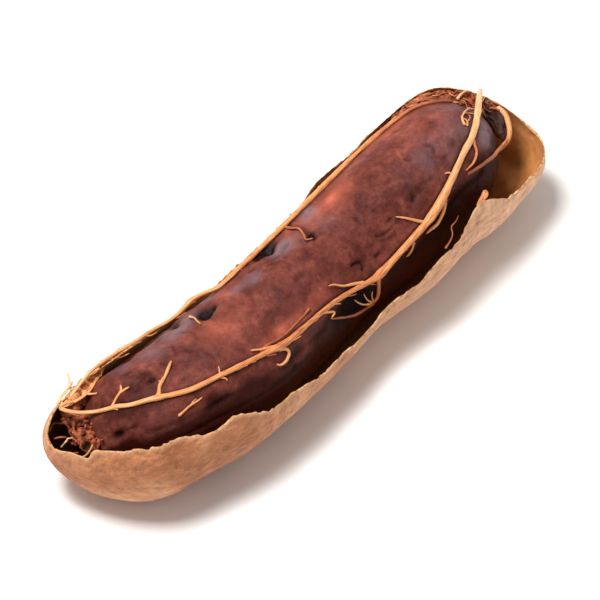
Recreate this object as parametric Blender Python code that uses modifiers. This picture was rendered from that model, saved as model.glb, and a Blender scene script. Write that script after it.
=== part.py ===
"""Opened tamarind pod: the lower half of its brittle shell lying on its back, with the sticky
fruit pulp and the pod's woody fibre strands still in it.

Frame: X runs along the pod from its tip (-X) to its stalk end (+X), Y goes across it and Z up.
The origin is under the middle of the pod, on the surface that it lies on. The tables below
are in millimetres and degrees, and MM turns millimetres to metres.
"""
import math

import bmesh
import bpy
import numpy as np
from mathutils import Vector

MM = 0.001

# The pod's outside, cut across at stations along X.
LENGTH = 115.0            # tip to stalk end
TIP_ROUNDING = 15.7       # length of the domed tip
STALK_ROUNDING = 16.5     # length of the domed stalk end
WALL = 1.0                # thickness of the brittle shell
BELLY_FLAT = 0.6          # how far the belly is flattened where it lies down
# x, centre y, radius, and the angles of the near and far torn edges above mid height
SHELL_STATIONS = (
    (-57.5, 1.3, 13.0, 46, 45),
    (-48.0, -3.2, 13.2, 42, 36),
    (-36.0, -4.6, 13.8, 30, 23),
    (-22.0, -5.0, 14.6, 15, 8),
    (-8.0, -2.2, 15.0, 1, -6),
    (8.0, 0.9, 15.2, -2, -9),
    (24.0, 2.6, 15.4, 8, 5),
    (38.0, 4.4, 15.0, 17, 16),
    (48.0, 4.9, 14.0, 4, 28),
    (57.5, 1.0, 13.0, 16, 38),
)
EDGE_WAVE = 2.0           # degrees that the torn edge wanders up and down
EDGE_WAVE_LENGTH = 13.0
WAISTS = (-20.0, 9.0, 33.0)   # where the shell narrows between two seeds
WAIST_DEPTH = 0.5
WAIST_SPREAD = 6.0

# The pulp fills the shell nearly to its inner wall.
PULP_START, PULP_END = -50.0, 50.0
PULP_TIP_ROUNDING = 11.0
PULP_STALK_ROUNDING = 13.0
FIT_GAP = 0.45            # clearance between the pulp and the shell's inner wall
PULP_FLOOR = WALL + FIT_GAP
# x, centre y, radius, and how far the underside is lifted off the shell
PULP_STATIONS = (
    (-50.0, -1.5, 9.0, 0.0),
    (-44.0, -3.4, 10.6, 0.0),
    (-32.0, -4.6, 11.6, 0.0),
    (-18.0, -3.9, 12.0, 0.0),
    (-4.0, -0.9, 12.0, 0.0),
    (10.0, 1.9, 11.8, 0.2),
    (24.0, 3.5, 12.0, 0.6),
    (36.0, 5.1, 11.6, 1.6),
    (50.0, 6.3, 10.0, 4.2),
)

# Strands: radius, clearance to the pulp, and routes. A route point with a name first is on the
# pulp: x and the angle from the pulp's crown, positive towards the near side. The other points
# are free in space: x, y, z.
NEAR_RADIUS = 0.8
FAR_RADIUS = 0.6
LOOP_RADIUS = 0.5
LOOSE_RADIUS = 0.3
STRAND_GAP = 0.35
NEAR_ROUTE = (
    ("free", -52.0, 5.1, 17.2), ("free", -50.9, 3.7, 18.2), ("free", -49.2, 2.0, 18.9),
    ("pulp", -46, -5), ("pulp", -43.3, 6.4), ("pulp", -39.3, 16.5), ("pulp", -34, 25.5),
    ("pulp", -28, 30), ("pulp", -20, 37), ("pulp", -14, 44.4), ("pulp", -7.3, 48),
    ("pulp", 0, 52), ("pulp", 5.3, 57.8), ("pulp", 10, 63.5), ("pulp", 14, 63),
    ("pulp", 20, 59), ("pulp", 26.7, 54), ("pulp", 33.3, 43), ("pulp", 38, 33.5),
    ("pulp", 41.4, 27.8), ("pulp", 44, 20), ("free", 46.8, 5.2, 24.2),
    ("free", 49.4, 7.6, 23.0), ("free", 51.8, 10.1, 21.2),
)
FAR_ROUTE = (
    ("free", -49.2, 5.3, 20.0), ("free", -46.6, 5.9, 20.8), ("free", -44.2, 6.6, 21.0),
    ("free", -42.0, 7.1, 20.8), ("free", -40.2, 7.5, 20.3), ("free", -38.1, 7.8, 19.9),
    ("free", -36.1, 7.9, 19.7), ("free", -33.7, 7.9, 19.5), ("free", -31.2, 8.0, 19.1),
    ("free", -29.1, 8.25, 18.7), ("free", -27.1, 8.35, 18.4), ("free", -24.8, 8.3, 18.3),
    ("free", -22.6, 8.15, 18.6), ("free", -20.7, 8.1, 19.3), ("free", -18.8, 8.05, 20.0),
    ("free", -17.3, 7.6, 20.5), ("free", -16.0, 6.95, 21.1), ("free", -14.3, 6.2, 21.9),
    ("pulp", -12, -45), ("pulp", -9, -43), ("pulp", -2, -40), ("pulp", 6, -40),
    ("pulp", 12, -42), ("pulp", 18, -45), ("pulp", 28, -50), ("pulp", 34, -49),
    ("pulp", 40, -44), ("pulp", 44, -35), ("free", 46.8, 10.9, 22.8),
)
LOOP_ROUTE = (
    ("free", 53.3, 7.3, 17.6), ("free", 53.6, 5.7, 17.0), ("free", 53.2, 4.0, 16.4),
    ("free", 52.4, 2.2, 16.0), ("free", 51.2, 0.8, 16.0), ("free", 49.2, -0.4, 16.7),
    ("pulp", 45.9, 64.5), ("pulp", 42.6, 57), ("pulp", 39.5, 53), ("pulp", 36.6, 50),
)
LOOSE_ROUTE = (("pulp", -38.5, 40), ("pulp", -36, 37.5), ("pulp", -33, 36.5))
# side twigs of the near strand: radius at the root, then the route
TWIG_RADIUS = 0.35
TWIG_ROUTES = (
    (("pulp", -39.5, 17), ("pulp", -37.7, 7), ("pulp", -35.5, 1), ("pulp", -32.8, -7)),
    (("pulp", -45.4, -6), ("pulp", -44.3, -13), ("pulp", -42.9, -16), ("pulp", -42.1, -21)),
    (("pulp", -15.4, 42), ("pulp", -18.0, 34), ("pulp", -20.1, 29)),
    (("pulp", 24.0, 54), ("pulp", 21.5, 43), ("pulp", 19.3, 34)),
    (("pulp", 11.2, 63), ("pulp", 10.4, 74), ("pulp", 9.4, 83)),
)

# Crumbly remains: a curved roll at the stalk end, and a lump in the hollow of the tip.
ROLL_RADIUS = 1.2
ROLL_ROUTE = (
    (39.6, 16.7, 20.9), (43.5, 16.2, 21.2), (46.6, 14.2, 20.4), (49.2, 11.7, 18.5),
    (51.2, 9.1, 16.4), (51.9, 6.2, 15.2), (51.4, 3.8, 14.8),
)
LUMP_CENTRE = (-52.3, 1.4, 13.4)
LUMP_SIZE = (1.9, 4.8, 3.6)   # half lengths along X, Y and Z

# Mesh fineness
SHELL_ALONG, SHELL_AROUND = 44, 28
PULP_ALONG, PULP_AROUND = 16, 14

# Colours and finishes: sRGB, roughness
FINISHES = {
    "shell": ((0.76, 0.52, 0.36), 0.85),
    "pulp": ((0.36, 0.17, 0.13), 0.38),
    "near_strand": ((0.84, 0.56, 0.36), 0.60),
    "far_strand": ((0.80, 0.50, 0.30), 0.60),
    "stalk_end_strand": ((0.82, 0.53, 0.34), 0.60),
    "stalk_end_tissue": ((0.45, 0.20, 0.10), 0.70),
    "tip_tissue": ((0.42, 0.18, 0.11), 0.70),
    "loose_fibre": ((0.84, 0.56, 0.36), 0.60),
}


def clear_scene():
    for item in list(bpy.data.objects):
        bpy.data.objects.remove(item, do_unlink=True)


def new_collection(name):
    group = bpy.data.collections.new(name)
    bpy.context.scene.collection.children.link(group)
    return group


def srgb_to_linear(value):
    return value / 12.92 if value <= 0.04045 else ((value + 0.055) / 1.055) ** 2.4


def finish(name):
    """A material of the piece's own colour and roughness; nothing on the pod is metal."""
    colour, roughness = FINISHES[name]
    material = bpy.data.materials.new(name)
    material.use_nodes = True
    shader = material.node_tree.nodes["Principled BSDF"]
    shader.inputs["Base Color"].default_value = [srgb_to_linear(c) for c in colour] + [1.0]
    shader.inputs["Roughness"].default_value = roughness
    shader.inputs["Metallic"].default_value = 0.0
    return material


def through(stations, column, x):
    """A smooth curve through one column of a station table, read at x."""
    table = np.array(stations, dtype=float)
    knots, values = table[:, 0], table[:, column]
    slopes = np.gradient(values, knots)
    x = min(max(x, knots[0]), knots[-1])
    i = min(int(np.searchsorted(knots, x, side="right")) - 1, len(knots) - 2)
    step = knots[i + 1] - knots[i]
    t = (x - knots[i]) / step
    start = (2 * t**3 - 3 * t**2 + 1) * values[i] + (t**3 - 2 * t**2 + t) * step * slopes[i]
    end = (3 * t**2 - 2 * t**3) * values[i + 1] + (t**3 - t**2) * step * slopes[i + 1]
    return float(start + end)


def dome(x, start, end, start_rounding, end_rounding):
    """1 along the body and falling to 0 at both rounded ends."""
    from_start = min(max((x - start) / start_rounding, 0.0), 1.0)
    from_end = min(max((end - x) / end_rounding, 0.0), 1.0)
    return math.sqrt(1 - (1 - from_start) ** 2) * math.sqrt(1 - (1 - from_end) ** 2.2)


def waist(x):
    return sum(WAIST_DEPTH * math.exp(-(((x - place) / WAIST_SPREAD) ** 2)) for place in WAISTS)


def shell_section(x):
    """Centre y, centre z and radius of the shell's outside at x."""
    body = through(SHELL_STATIONS, 2, x)
    ends = dome(x, -LENGTH / 2, LENGTH / 2, TIP_ROUNDING, STALK_ROUNDING)
    return through(SHELL_STATIONS, 1, x), body - BELLY_FLAT, (body - waist(x)) * ends


def torn_edge(x, side):
    """Angle of the torn edge above mid height, on the near (3) or far (4) side."""
    wave = EDGE_WAVE * math.sin(2 * math.pi * x / EDGE_WAVE_LENGTH + side)
    return through(SHELL_STATIONS, side, x) + wave


def shell_point(x, share):
    """A point of the outside: share 0 is the near torn edge, 0.5 the belly, 1 the far edge."""
    y, z, radius = shell_section(x)
    angle = math.radians(-90 - torn_edge(x, 3) + share * (180 + torn_edge(x, 3) + torn_edge(x, 4)))
    height = max(z - radius * math.cos(angle), 0.0)
    return Vector((x, y + radius * math.sin(angle), height)) * MM


def pulp_section(x):
    """Centre y, centre z and radius of the pulp at x."""
    body = through(PULP_STATIONS, 2, x)
    lift = through(PULP_STATIONS, 3, x)
    ends = dome(x, PULP_START, PULP_END, PULP_TIP_ROUNDING, PULP_STALK_ROUNDING)
    return through(PULP_STATIONS, 1, x), PULP_FLOOR + lift + body, body * ends


def pulp_point(x, angle, lift=0.0):
    """A point of the pulp, at an angle from its crown towards the near side, kept in the shell."""
    y, z, radius = pulp_section(x)
    turn = math.radians(angle)
    reach = radius + lift
    point = Vector((y - reach * math.sin(turn), z + reach * math.cos(turn)))
    shell_y, shell_z, shell_radius = shell_section(x)
    offset = point - Vector((shell_y, shell_z))
    room = max(shell_radius - WALL - FIT_GAP, 0.0)
    if lift == 0.0 and offset.length > room and offset.y < 0:
        point = Vector((shell_y, shell_z)) + offset.normalized() * room
    return Vector((x, point.x, max(point.y, PULP_FLOOR) if lift == 0.0 else point.y)) * MM


def add_object(name, mesh, group):
    item = bpy.data.objects.new(name, mesh)
    group.objects.link(item)
    if name in FINISHES:
        mesh.materials.append(finish(name))
    return item


def along_ends(share):
    """Even steps of share 0 to 1 turned into steps that crowd together at both round ends."""
    return -math.cos(math.pi * share)


def make_shell(group):
    """The outside as a grid wrapped round the belly, then given its wall inwards."""
    cage = bmesh.new()
    bmesh.ops.create_grid(cage, x_segments=SHELL_ALONG, y_segments=SHELL_AROUND, size=1.0)
    for vertex in cage.verts:
        x = LENGTH / 2 * along_ends((vertex.co.x + 1) / 2)
        vertex.co = shell_point(x, (vertex.co.y + 1) / 2)
    bmesh.ops.remove_doubles(cage, verts=cage.verts, dist=0.00002)
    mesh = bpy.data.meshes.new("shell")
    cage.to_mesh(mesh)
    cage.free()
    mesh.flip_normals()
    mesh.shade_smooth()
    shell = add_object("shell", mesh, group)
    wall = shell.modifiers.new("wall", "SOLIDIFY")
    wall.thickness = WALL * MM
    wall.offset = -1.0
    wall.use_even_offset = True
    return shell


def make_pulp(group):
    """A ball with its poles turned to X, stretched into the pulp and subdivided once."""
    cage = bmesh.new()
    bmesh.ops.create_uvsphere(cage, u_segments=PULP_AROUND, v_segments=PULP_ALONG, radius=1.0)
    middle = (PULP_START + PULP_END) / 2
    half = (PULP_END - PULP_START) / 2
    for vertex in cage.verts:
        around = math.degrees(math.atan2(vertex.co.y, vertex.co.x))
        along = max(-1.0, min(1.0, vertex.co.z))
        vertex.co = pulp_point(middle + half * along, around)
    bmesh.ops.recalc_face_normals(cage, faces=cage.faces)
    mesh = bpy.data.meshes.new("pulp")
    cage.to_mesh(mesh)
    cage.free()
    mesh.shade_smooth()
    pulp = add_object("pulp", mesh, group)
    soft = pulp.modifiers.new("soft form", "SUBSURF")
    soft.levels = 1
    soft.render_levels = 1
    return pulp


def route_point(entry, radius):
    """The centre of a strand at one route entry, in metres."""
    if entry[0] == "free":
        return Vector(entry[1:]) * MM
    return pulp_point(entry[1], entry[2], lift=radius + STRAND_GAP)


def curve_through(points, spacing):
    """Points about spacing apart on a smooth curve through the given ones."""
    placed = np.array(points)
    lengths = np.linalg.norm(np.diff(placed, axis=0), axis=1)
    distance = np.concatenate(([0.0], np.cumsum(lengths)))
    count = max(3, int(round(distance[-1] / spacing)) + 1)
    table = np.column_stack((distance, placed))
    return [Vector([through(table, axis, d) for axis in (1, 2, 3)])
            for d in np.linspace(0.0, distance[-1], count)]


def make_strand(name, points, radius, group, thinning=(1.0, 1.0), spacing=2.5):
    """A round fibre along the points, its ends thinned to the given shares of its radius."""
    curve = bpy.data.curves.new(name, "CURVE")
    curve.dimensions = "3D"
    curve.bevel_depth = radius * MM
    curve.bevel_resolution = 2
    curve.use_fill_caps = True
    places = curve_through(points, spacing * MM)
    spline = curve.splines.new("POLY")
    spline.points.add(len(places) - 1)
    for index, (point, place) in enumerate(zip(spline.points, places)):
        share = index / (len(places) - 1)
        point.co = (*place, 1.0)
        point.radius = thinning[0] * (1 - share) + thinning[1] * share
    if name in FINISHES:
        curve.materials.append(finish(name))
    strand = bpy.data.objects.new(name, curve)
    group.objects.link(strand)
    return strand


def as_mesh(curve_object, group):
    """The curve object replaced by a closed mesh of the same name."""
    name = curve_object.name
    bpy.context.view_layer.update()
    evaluated = curve_object.evaluated_get(bpy.context.evaluated_depsgraph_get())
    mesh = bpy.data.meshes.new_from_object(evaluated)
    cage = bmesh.new()
    cage.from_mesh(mesh)
    bmesh.ops.remove_doubles(cage, verts=cage.verts, dist=0.000001)
    bmesh.ops.recalc_face_normals(cage, faces=cage.faces)
    cage.to_mesh(mesh)
    cage.free()
    place = curve_object.matrix_world.copy()
    bpy.data.objects.remove(curve_object, do_unlink=True)
    item = bpy.data.objects.new(name, mesh)
    item.matrix_world = place
    group.objects.link(item)
    return item


def make_near_strand(group, cutters):
    """The thick strand with its side twigs joined to it."""
    points = [route_point(entry, NEAR_RADIUS) for entry in NEAR_ROUTE]
    strand = as_mesh(make_strand("near_strand", points, NEAR_RADIUS, group, (0.6, 1.1)), group)
    for number, route in enumerate(TWIG_ROUTES, start=1):
        points = [route_point(entry, TWIG_RADIUS) for entry in route]
        name = f"twig_{number}"
        twig = as_mesh(make_strand(name, points, TWIG_RADIUS, cutters, (1.0, 0.6)), cutters)
        twig.hide_render = True
        twig.display_type = "WIRE"
        join = strand.modifiers.new(name, "BOOLEAN")
        join.operation = "UNION"
        join.object = twig
    return strand


def make_lump(group):
    """A crumbly lump: a ball stretched to size, its surface pushed in and out by waves."""
    cage = bmesh.new()
    bmesh.ops.create_icosphere(cage, subdivisions=3, radius=1.0)
    for vertex in cage.verts:
        way = vertex.co.copy()
        rough = 0.88 + 0.07 * math.sin(7 * way.x + 5 * way.y) + 0.05 * math.sin(9 * way.z - 4 * way.y)
        spread = Vector((way.x * LUMP_SIZE[0], way.y * LUMP_SIZE[1], way.z * LUMP_SIZE[2]))
        vertex.co = (Vector(LUMP_CENTRE) + spread * rough) * MM
    mesh = bpy.data.meshes.new("tip_tissue")
    cage.to_mesh(mesh)
    cage.free()
    return add_object("tip_tissue", mesh, group)


def build():
    clear_scene()
    pod = new_collection("tamarind_pod")
    cutters = new_collection("cutters")
    make_shell(pod)
    make_pulp(pod)
    make_near_strand(pod, cutters)
    far = [route_point(entry, FAR_RADIUS) for entry in FAR_ROUTE]
    make_strand("far_strand", far, FAR_RADIUS, pod, (0.7, 0.8))
    loop = [route_point(entry, LOOP_RADIUS) for entry in LOOP_ROUTE]
    make_strand("stalk_end_strand", loop, LOOP_RADIUS, pod, (1.2, 0.6), spacing=1.6)
    loose = [route_point(entry, LOOSE_RADIUS) for entry in LOOSE_ROUTE]
    make_strand("loose_fibre", loose, LOOSE_RADIUS, pod, (1.0, 0.8), spacing=1.2)
    roll = [Vector(point) * MM for point in ROLL_ROUTE]
    make_strand("stalk_end_tissue", roll, ROLL_RADIUS, pod, (0.6, 0.7), spacing=1.5)
    make_lump(pod)


build()
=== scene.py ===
import math
from itertools import groupby

import bmesh
import bpy
import numpy as np
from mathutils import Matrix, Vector


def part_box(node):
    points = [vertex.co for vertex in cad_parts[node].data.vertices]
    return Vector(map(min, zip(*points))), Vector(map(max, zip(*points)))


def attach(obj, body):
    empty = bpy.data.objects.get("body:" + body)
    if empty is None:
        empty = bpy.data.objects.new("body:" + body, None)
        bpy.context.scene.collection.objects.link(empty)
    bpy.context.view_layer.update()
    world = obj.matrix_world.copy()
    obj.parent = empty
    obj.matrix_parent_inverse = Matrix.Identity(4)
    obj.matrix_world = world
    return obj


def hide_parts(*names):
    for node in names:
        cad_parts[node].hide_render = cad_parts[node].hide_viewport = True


# An opened tamarind pod, lying on its back with the upper part of its shell broken away. Tables
# are in millimetres and degrees, in the frame of the CAD model: X from the tip to the stalk end,
# Y across, away from the camera, and Z up.
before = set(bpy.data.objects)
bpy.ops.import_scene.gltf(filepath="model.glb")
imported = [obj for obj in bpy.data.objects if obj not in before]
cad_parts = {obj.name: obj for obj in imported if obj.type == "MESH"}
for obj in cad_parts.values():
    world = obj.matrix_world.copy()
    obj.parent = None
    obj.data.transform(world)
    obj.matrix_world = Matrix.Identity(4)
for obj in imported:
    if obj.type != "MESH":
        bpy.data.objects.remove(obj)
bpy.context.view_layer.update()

# ------------------------ shell
# The lower half of the pod's brittle shell: a dry husk 1 mm thick, scurfy and tan outside, with
# a smooth brown lining inside. It was snapped open by hand, which left a crumbled edge all
# round. The pod grew it in one piece, wider where each seed lay.
shell_low, shell_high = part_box("shell")
HALF = 57.5                                     # half the pod's length
MM = (shell_high.x - shell_low.x) / (2 * HALF)  # metres to a millimetre of the tables
WALL = 1.0
BELLY_FLAT = 0.6
TIP_ROUNDING, STALK_ROUNDING = 15.7, 16.5
# x, centre y, radius, and the near and far torn edges' angles above mid height
SHELL_STATIONS = (
    (-57.5, 1.3, 13, 44, 45), (-48, -3.2, 13.2, 39, 36), (-36, -4.6, 13.8, 30, 23),
    (-22, -5, 14.6, 15, 8), (-8, -2.2, 15, 1, -6), (8, 0.9, 15.2, -2, -9), (24, 2.6, 15.4, 8, 5),
    (38, 4.4, 15, 17, 16), (48, 4.9, 14, 4, 28), (57.5, 1, 13, 16, 38),
)
WAISTS, WAIST_DEPTH, WAIST_SPREAD = (-20.0, 9.0, 33.0), 0.5, 6.0
# x, and how far the break ran above or below its smooth line there
NEAR_BREAK = (
    (-57.5, 1.2), (-56.4, 1.1), (-55.7, 0.3), (-55, -0.4), (-54.1, 0.8), (-51.6, 1), (-50.4, 0.6),
    (-49, 1), (-46, 0.7), (-42.5, 0.2), (-39, -0.3), (-35, -0.4), (-31, 0.9), (-27.5, 0.4),
    (-22, -0.3), (-18.5, -0.2), (-12, 0), (8, 0), (20, 0), (25, -0.6), (29.7, 0), (33.5, 0.7),
    (36.4, 0.7), (39, 0.2), (43.4, 0.1), (48.8, 0), (52.5, -0.4), (57.5, 0),
)
FAR_BREAK = (
    (-57.5, 0), (-43, 0.4), (-40, 1.2), (-37.5, 1.9), (-34.5, 1.6), (-32, 0.9), (-29, 0.5),
    (-27, 1.1), (-24, 1.9), (-20.5, 2.1), (-16.5, 1.9), (-13, 0.6), (-9.5, 0.4), (-5.5, -0.2),
    (3.4, 0), (12, -0.5), (15.6, 0.4), (22, 0), (28.7, -0.6), (32, -0.1), (38, 0.4), (45, 0.6),
    (49, 1), (53, 1.3), (55.5, 0.9), (57.5, 0.3),
)
EDGE_WAVE, EDGE_WAVE_LENGTH = 2.0, 13.0         # degrees and mm: its slow rise and fall
TIP_RIM, STALK_RIM = 2.3, 1.2                   # how far the edge passes above each end's pole
THIN_EDGE, THINNED_BAND = 0.62, 3.5             # the wall's share left at the edge, and how far in
POLE_REACH, POLE_BLEND = 9.0, 6.0               # the edge rounds off this near to each pole
FAR_FROM_EDGE = 6.0                             # given to the rings that close over a pole
SHELL_COLUMNS, SKIN_ROWS, LINING_ROWS, LIP_ROWS, FINE_STEPS = 400, 104, 72, 4, 6000


def through(stations, column, x):
    """A smooth curve through one column of a table, read at x: between two rows it is the cubic
    that meets both values with the slopes of the rows around them."""
    table = np.asarray(stations, float)
    knots, values = table[:, 0], table[:, column]
    slopes = np.gradient(values, knots)
    x = np.clip(x, knots[0], knots[-1])
    i = np.clip(np.searchsorted(knots, x, side="right") - 1, 0, len(knots) - 2)
    step = knots[i + 1] - knots[i]
    t = (x - knots[i]) / step
    start = (2 * t**3 - 3 * t**2 + 1) * values[i] + (t**3 - 2 * t**2 + t) * step * slopes[i]
    return start + (3 * t**2 - 2 * t**3) * values[i + 1] + (t**3 - t**2) * step * slopes[i + 1]


def dome(x, start, end, start_rounding, end_rounding, fullness=2.2):
    """1 along a body, falling to 0 at its two ends: a quarter circle at its start, and at its end
    a curve that is one too at fullness 2 and is blunter above that."""
    from_start = np.clip((x - start) / start_rounding, 0, 1)
    from_end = np.clip((end - x) / end_rounding, 0, 1)
    return np.sqrt(1 - (1 - from_start) ** 2) * np.sqrt(1 - (1 - from_end) ** fullness)


def waist(x):
    """The narrowing between two seeds: a bell curve at each waist, summed."""
    return sum(WAIST_DEPTH * np.exp(-(((x - place) / WAIST_SPREAD) ** 2)) for place in WAISTS)


def shell_section(x):
    """Centre y, centre z and radius of the husk's round section at x."""
    body = through(SHELL_STATIONS, 2, x)
    radius = (body - waist(x)) * dome(x, -HALF, HALF, TIP_ROUNDING, STALK_ROUNDING)
    return through(SHELL_STATIONS, 1, x), body - BELLY_FLAT, radius


def mottle(points, grain, seed):
    """Smooth random values from -1 to 1, grain apart: a seeded block of random numbers, blended
    between the eight corners round each point along an S-curve."""
    block = np.random.default_rng(seed).uniform(-1, 1, (32, 32, 32))
    place = np.asarray(points, float) / grain
    cell = np.floor(place).astype(int)
    part = place - cell
    part = part * part * (3 - 2 * part)
    value = 0.0
    for corner in np.ndindex(2, 2, 2):
        share = np.prod(np.where(corner, part, 1 - part), axis=-1)
        value = value + share * block[tuple(np.moveaxis((cell + corner) % 32, -1, 0))]
    return value


def even_columns(start, end, section, count):
    """Places along X that are equally far apart on the outline from pole to pole: the outline's
    length is summed over fine steps and cut into equal shares."""
    fine = (start + end) / 2 - (end - start) / 2 * np.cos(np.linspace(0, math.pi, FINE_STEPS))
    run = np.concatenate(([0], np.cumsum(np.hypot(np.diff(fine), np.diff(section(fine)[2])))))
    return np.interp(np.linspace(0, run[-1], count), run, fine)


def unit(vectors):
    """The vectors at length 1."""
    return vectors / np.maximum(np.linalg.norm(vectors, axis=-1, keepdims=True), 1e-12)


def normals_of(points, wrapped=False):
    """Outward directions of a grid of points: the product of its steps across and along, and
    straight along X at both poles."""
    along = np.gradient(points, axis=0)
    if wrapped:
        across = np.roll(points, -1, axis=1) - np.roll(points, 1, axis=1)
    else:
        across = np.gradient(points, axis=1)
    out = unit(np.cross(across, along))
    out[0], out[-1] = (-1, 0, 0), (1, 0, 0)
    return out


def grid_quads(columns, rows):
    """Quads of a tube: columns of points along it, each a closed ring of rows."""
    i, j = np.meshgrid(np.arange(columns - 1), np.arange(rows), indexing="ij")
    k = (j + 1) % rows
    quads = np.stack((i * rows + j, i * rows + k, (i + 1) * rows + k, (i + 1) * rows + j), -1)
    return quads.reshape(-1, 4)


def torn_angle(x, radius, side, breaks, seed, pole_rise):
    """Angle of the torn edge above mid height. The smooth line of the break, its measured ups
    and downs, and crumbled teeth 1 to 2 mm apart, the edge rounding off over each pole."""
    line = np.stack((x, 0 * x + 3.1 * seed, 0 * x), -1)
    teeth = 0.35 * mottle(line, 3.6, seed) - 0.62 * np.abs(mottle(line, 1.15, seed + 1)) ** 0.8
    chips = -0.9 * np.clip(mottle(line, 2.1, seed + 2) - 0.45, 0, 1)
    height = through(breaks, 1, x) + teeth + chips
    wave = EDGE_WAVE * np.sin(2 * math.pi * x / EDGE_WAVE_LENGTH + side)
    angle = np.radians(through(SHELL_STATIONS, side, x) + wave) + height / np.maximum(radius, 5)
    near_end = np.clip((POLE_REACH - (HALF - np.abs(x))) / POLE_BLEND, 0, 1)
    rise = near_end * pole_rise / np.maximum(radius, 1e-6)
    sine = (np.clip(np.sin(angle), 0, 1) ** 4 + np.minimum(rise, 2) ** 4) ** 0.25
    return np.where(rise > 0, np.maximum(np.arcsin(np.clip(sine, 0, 1)), angle), angle)


def make_husk():
    """The husk's points, quads, kinds of face and values. A ring runs over the skin from the near
    edge under the belly to the far edge, over the broken lip and back along the lining."""
    x = even_columns(-HALF, HALF, shell_section, SHELL_COLUMNS)
    y, z, radius = (part[:, None] for part in shell_section(x))
    rise = np.where(x < 0, TIP_RIM, STALK_RIM)
    near = torn_angle(x, radius[:, 0], 3, NEAR_BREAK, 11, rise)[:, None]
    far = torn_angle(x, radius[:, 0], 4, FAR_BREAK, 21, rise)[:, None]
    closed = (near + far)[:, 0] > math.pi - 1e-6                # rings that close over a pole

    def husk(share):
        """The smooth section without relief, from share 0 at the near edge to 1 at the far."""
        angle = -math.pi / 2 - near + share * (math.pi + near + far)
        height = z - radius * np.cos(angle)
        height = 0.5 * (height + np.sqrt(height**2 + 0.02))     # flat where it lies down
        return np.stack((x[:, None] + 0 * angle, y + radius * np.sin(angle), height), -1)

    def crowded(rows):
        """Shares of the section for its rows, closer together near the torn edges."""
        share = np.linspace(0, 1, rows)[None]
        return 0.6 * share + 0.2 * (1 - np.cos(math.pi * share))

    def edge_distance(rows):
        """How far each row lies from the nearer torn edge, along the section."""
        return np.minimum(crowded(rows), 1 - crowded(rows)) * (math.pi + near + far) * radius

    body = np.clip(radius / 5, 0, 1)                            # no relief at the poles
    skin = husk(crowded(SKIN_ROWS))
    out = normals_of(skin)
    pinch = waist(x)[:, None] / WAIST_DEPTH
    pleats = np.abs(mottle(skin * (0.30, 1.0, 1.0), 1.5, 31)) * (0.25 + 0.75 * pinch)
    relief = 0.22 * mottle(skin, 15, 32) + 0.12 * mottle(skin, 5.5, 33) - 0.24
    relief = relief - 0.26 * pleats + 0.04 * (mottle(skin * (0.6, 1.0, 1.0), 0.9, 34) - 1)
    skin = skin + out * (relief * body)[..., None]
    lining = husk(crowded(LINING_ROWS))
    inward = -normals_of(lining)
    band = np.clip(edge_distance(LINING_ROWS) / THINNED_BAND, 0, 1)
    thin = THIN_EDGE + (1 - THIN_EDGE) * band
    thick = WALL * thin * (0.94 + 0.05 * mottle(lining, 6, 35))
    thick = thick + 0.05 * mottle(lining, 1.6, 36) * body
    lining = lining + inward * thick[..., None]
    skin[closed, -1], lining[closed, -1] = skin[closed, 0], lining[closed, 0]

    def lip(outer, inner, up, seed):
        """The broken wall between the two edges: a low uneven ridge."""
        share = (np.arange(LIP_ROWS) + 1) / (LIP_ROWS + 1)
        across = outer[:, None] + share[None, :, None] * (inner - outer)[:, None]
        crumb = 0.08 + 0.16 * mottle(across, 0.7, seed) + 0.08 * mottle(across, 2.0, seed + 1)
        lift = crumb * np.sin(math.pi * share)[None] * body * ~closed[:, None]
        return across + up[:, None] * lift[..., None]

    far_lip = lip(skin[:, -1], lining[:, -1], unit(skin[:, -1] - skin[:, -2]), 37)
    near_lip = lip(lining[:, 0], skin[:, 0], unit(skin[:, 0] - skin[:, 1]), 39)
    ring = np.concatenate((skin, far_lip, lining[:, ::-1], near_lip), axis=1)
    rows = ring.shape[1]
    quads = grid_quads(len(x), rows)
    row = np.tile(np.arange(rows), len(x) - 1)
    column = np.repeat(np.arange(len(x) - 1), rows)
    turn_far, turn_near = SKIN_ROWS - 1, SKIN_ROWS + LIP_ROWS + LINING_ROWS - 1
    on_lip = ((row >= turn_far) & (row <= turn_far + LIP_ROWS)) | (row >= turn_near)
    kind = np.where(on_lip, 1, np.where(row < turn_far, 0, 2))
    keep = ~(on_lip & (closed[:-1] & closed[1:])[column])
    blank = np.zeros((len(x), LIP_ROWS))
    edge = np.concatenate((edge_distance(SKIN_ROWS), blank,
                           edge_distance(LINING_ROWS)[:, ::-1], blank), axis=1)
    edge = np.where(closed[:, None], FAR_FROM_EDGE, edge)
    values = {"edge": edge.ravel(), "waist": np.repeat(pinch, rows, axis=1).ravel()}
    return ring.reshape(-1, 3), quads[keep], kind[keep], values


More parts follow.
